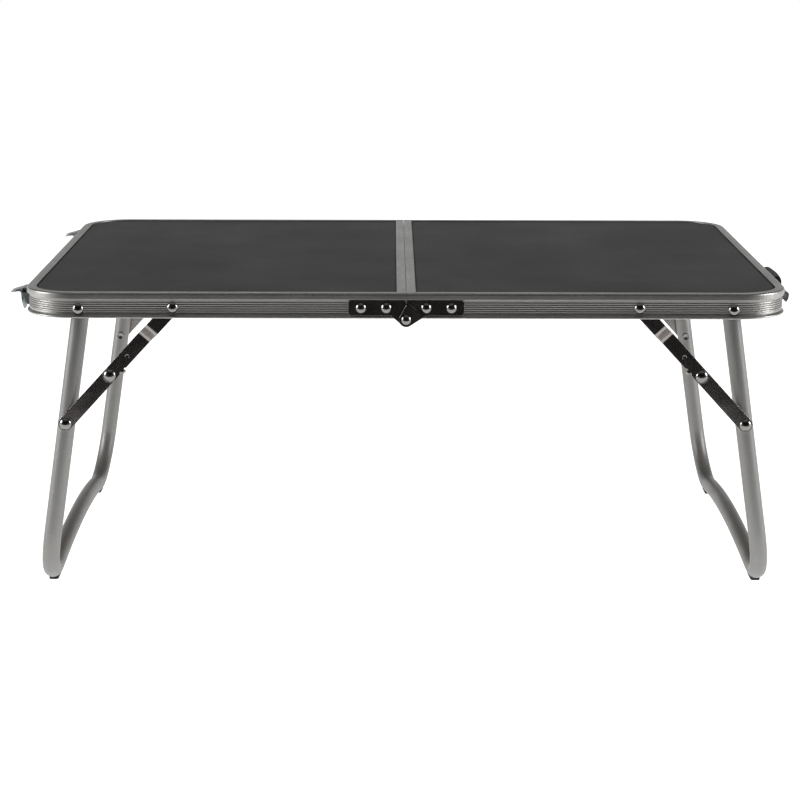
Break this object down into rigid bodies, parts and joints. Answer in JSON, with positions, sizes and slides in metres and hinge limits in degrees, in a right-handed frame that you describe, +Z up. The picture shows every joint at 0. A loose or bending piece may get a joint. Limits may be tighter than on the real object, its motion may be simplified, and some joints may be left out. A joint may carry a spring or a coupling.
{
  "type": "folding table",
  "caption": "Low folding table: hinged top in a ribbed aluminium rim, outward-leaning U-shaped tube legs with folding braces, end latches with catches, and a carrying handle.",
  "frame": {"origin": "on the floor, under the middle of the centre hinge", "axes": "+X along the table's length, latches at -X and handle at +X; +Y from the front edge to the rear edge; +Z up"},
  "size_m": [0.6278, 0.408, 0.25],
  "materials": {
    "board": "dark grey matt laminate on hardboard",
    "rim": "satin silver extrusion, fine ribs along the outer face",
    "leg_tube": "satin silver-grey tube",
    "dark_steel": "bright-plated strip that mirrors its surroundings",
    "rivet": "bright-plated domed head",
    "zinc": "zinc-plated sheet",
    "rubber": "matt black",
    "grip": "black moulding"
  },
  "bodies": {
    "left_half": {"left_board": "board", "left_edge_frame": "rim", "left_centre_rail": "rim", "front_hinge_leaf_left": "dark_steel", "rear_hinge_leaf_left": "dark_steel", "front_leaf_rivet_left_inner": "rivet", "front_leaf_rivet_left_outer": "rivet", "rear_leaf_rivet_left_inner": "rivet", "rear_leaf_rivet_left_outer": "rivet", "front_hinge_pin": "rivet", "rear_hinge_pin": "rivet", "front_left_leg_pin": "rivet", "rear_left_leg_pin": "rivet", "front_left_rim_rivet": "rivet", "rear_left_rim_rivet": "rivet", "front_latch_base": "zinc", "rear_latch_base": "zinc", "front_latch_pin": "rivet", "rear_latch_pin": "rivet"},
    "right_half": {"right_board": "board", "right_edge_frame": "rim", "right_centre_rail": "rim", "front_hinge_leaf_right": "dark_steel", "rear_hinge_leaf_right": "dark_steel", "front_leaf_rivet_right_inner": "rivet", "front_leaf_rivet_right_outer": "rivet", "rear_leaf_rivet_right_inner": "rivet", "rear_leaf_rivet_right_outer": "rivet", "front_right_leg_pin": "rivet", "rear_right_leg_pin": "rivet", "front_right_rim_rivet": "rivet", "rear_right_rim_rivet": "rivet", "front_catch": "zinc", "rear_catch": "zinc", "handle_strap": "zinc", "handle_grip": "grip"},
    "left_leg": {"left_leg_frame": "leg_tube", "front_left_foot_pad": "rubber", "rear_left_foot_pad": "rubber", "front_left_leg_rivet": "rivet", "rear_left_leg_rivet": "rivet"},
    "left_upper_links": {"front_left_upper_link": "dark_steel", "rear_left_upper_link": "dark_steel", "front_left_link_rivet": "rivet", "rear_left_link_rivet": "rivet"},
    "left_lower_links": {"front_left_lower_link": "dark_steel", "rear_left_lower_link": "dark_steel"},
    "right_leg": {"right_leg_frame": "leg_tube", "front_right_foot_pad": "rubber", "rear_right_foot_pad": "rubber", "front_right_leg_rivet": "rivet", "rear_right_leg_rivet": "rivet"},
    "right_upper_links": {"front_right_upper_link": "dark_steel", "rear_right_upper_link": "dark_steel", "front_right_link_rivet": "rivet", "rear_right_link_rivet": "rivet"},
    "right_lower_links": {"front_right_lower_link": "dark_steel", "rear_right_lower_link": "dark_steel"},
    "front_latch": {"front_latch_lever": "zinc"},
    "rear_latch": {"rear_latch_lever": "zinc"}
  },
  "joints": [
    {"name": "centre_fold", "type": "hinge", "parent": "left_half", "child": "right_half", "pos_m": [0, 0, 0.2295], "axis": [0, 1, 0], "range_deg": [0, 95]},
    {"name": "left_leg_fold", "type": "hinge", "parent": "left_half", "child": "left_leg", "pos_m": [-0.255, 0, 0.237], "axis": [0, -1, 0], "range_deg": [0, 98.7]},
    {"name": "left_upper_link_swing", "type": "hinge", "parent": "left_half", "child": "left_upper_links", "pos_m": [-0.1817, 0, 0.2383], "axis": [0, -1, 0], "range_deg": [0, 129.2]},
    {"name": "left_lower_link_swing", "type": "hinge", "parent": "left_leg", "child": "left_lower_links", "pos_m": [-0.26951, 0, 0.1422], "axis": [0, -1, 0], "range_deg": [-149.7, 0]},
    {"name": "right_leg_fold", "type": "hinge", "parent": "right_half", "child": "right_leg", "pos_m": [0.255, 0, 0.237], "axis": [0, 1, 0], "range_deg": [0, 98.7]},
    {"name": "right_upper_link_swing", "type": "hinge", "parent": "right_half", "child": "right_upper_links", "pos_m": [0.1817, 0, 0.2383], "axis": [0, 1, 0], "range_deg": [0, 129.2]},
    {"name": "right_lower_link_swing", "type": "hinge", "parent": "right_leg", "child": "right_lower_links", "pos_m": [0.26951, 0, 0.1422], "axis": [0, 1, 0], "range_deg": [-149.7, 0]},
    {"name": "front_latch_lift", "type": "hinge", "parent": "left_half", "child": "front_latch", "pos_m": [-0.3034, -0.147, 0.2438], "axis": [0, 1, 0], "range_deg": [0, 60]},
    {"name": "rear_latch_lift", "type": "hinge", "parent": "left_half", "child": "rear_latch", "pos_m": [-0.3034, 0.147, 0.2438], "axis": [0, 1, 0], "range_deg": [0, 60]}
  ],
  "couplings": [
    {"joint": "left_upper_link_swing", "follows": "left_leg_fold", "ratio": 1.3083},
    {"joint": "left_lower_link_swing", "follows": "left_leg_fold", "ratio": -1.5154},
    {"joint": "right_upper_link_swing", "follows": "right_leg_fold", "ratio": 1.3083},
    {"joint": "right_lower_link_swing", "follows": "right_leg_fold", "ratio": -1.5154}
  ]
}
